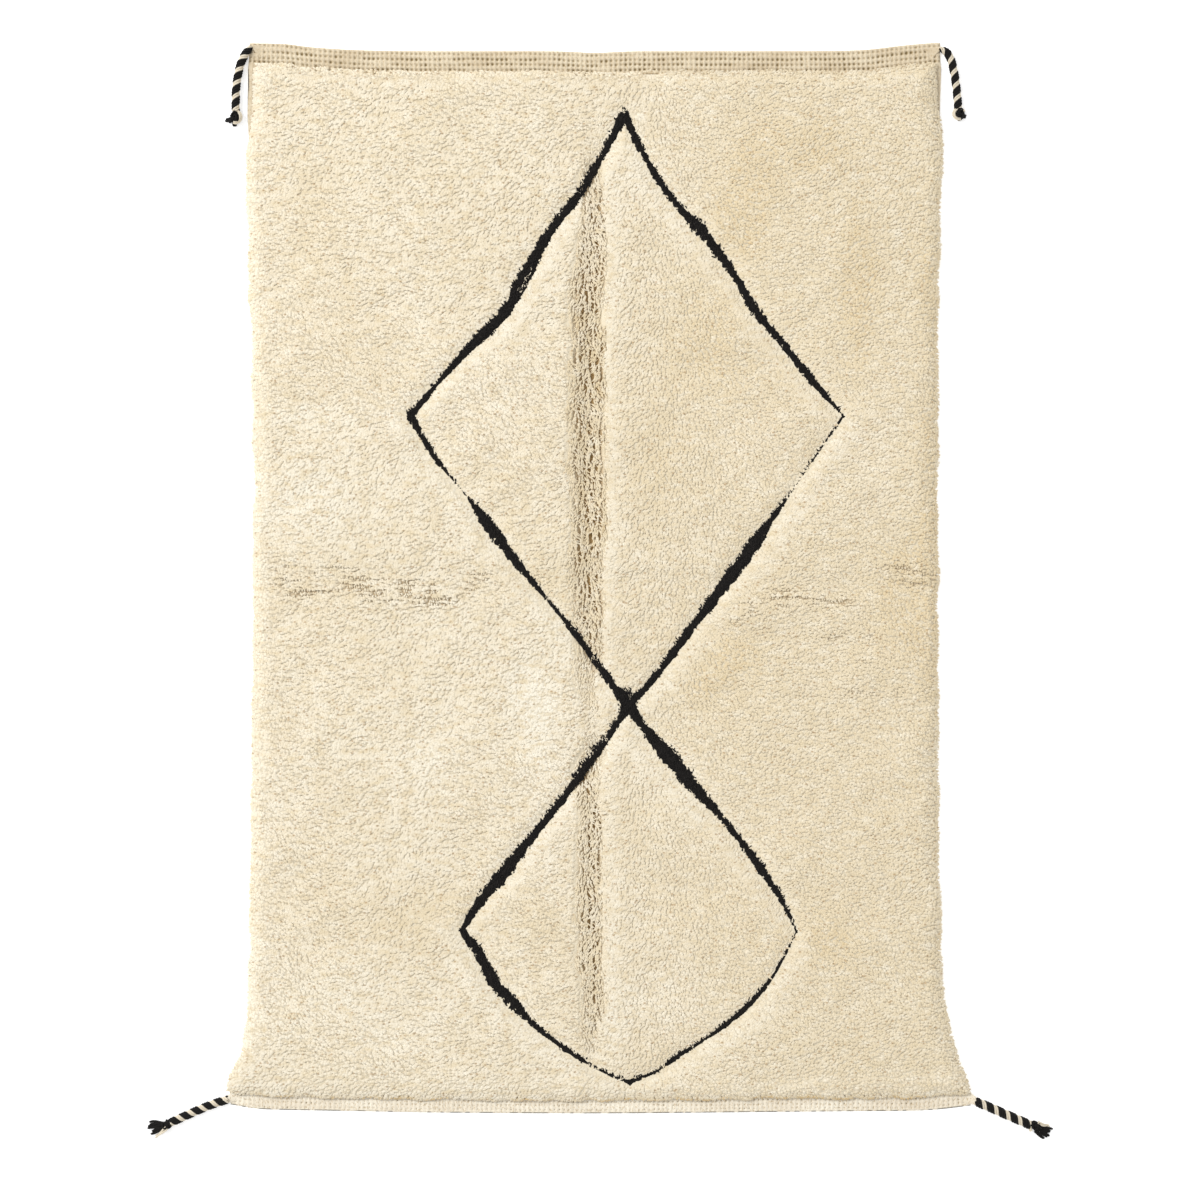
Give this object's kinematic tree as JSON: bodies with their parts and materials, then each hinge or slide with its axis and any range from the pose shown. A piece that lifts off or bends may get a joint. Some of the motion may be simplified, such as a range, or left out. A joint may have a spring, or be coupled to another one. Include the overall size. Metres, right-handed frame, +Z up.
{
  "type": "beni ourain rug",
  "caption": "Thick cream wool pile rug with black lozenge lines, flat-woven ends and a plied, knotted corner cord at each corner; lies flat on a floor.",
  "frame": {"origin": "middle of the rug's own footprint, on the floor it lies on; the corner cords aren't counted", "axes": "+X across the rug to its right, +Y along the rug towards its head, +Z up out of the pile"},
  "size_m": [2.0932, 2.5383, 0.0361],
  "materials": {
    "cream_wool": "undyed hand-spun wool pile, soft and matt, with black knots along the lozenge lines",
    "plied_wool": "black and cream wool yarns plied in a Z twist, matt",
    "black_wool": "black wool yarn with cream yarn ends, matt"
  },
  "bodies": {
    "root": {"rug": "cream_wool", "cord_head_left": "plied_wool", "cord_head_right": "plied_wool", "cord_foot_left": "plied_wool", "cord_foot_right": "plied_wool", "knot_head_left": "black_wool", "knot_head_right": "black_wool", "knot_foot_left": "black_wool", "knot_foot_right": "black_wool"}
  },
  "joints": []
}
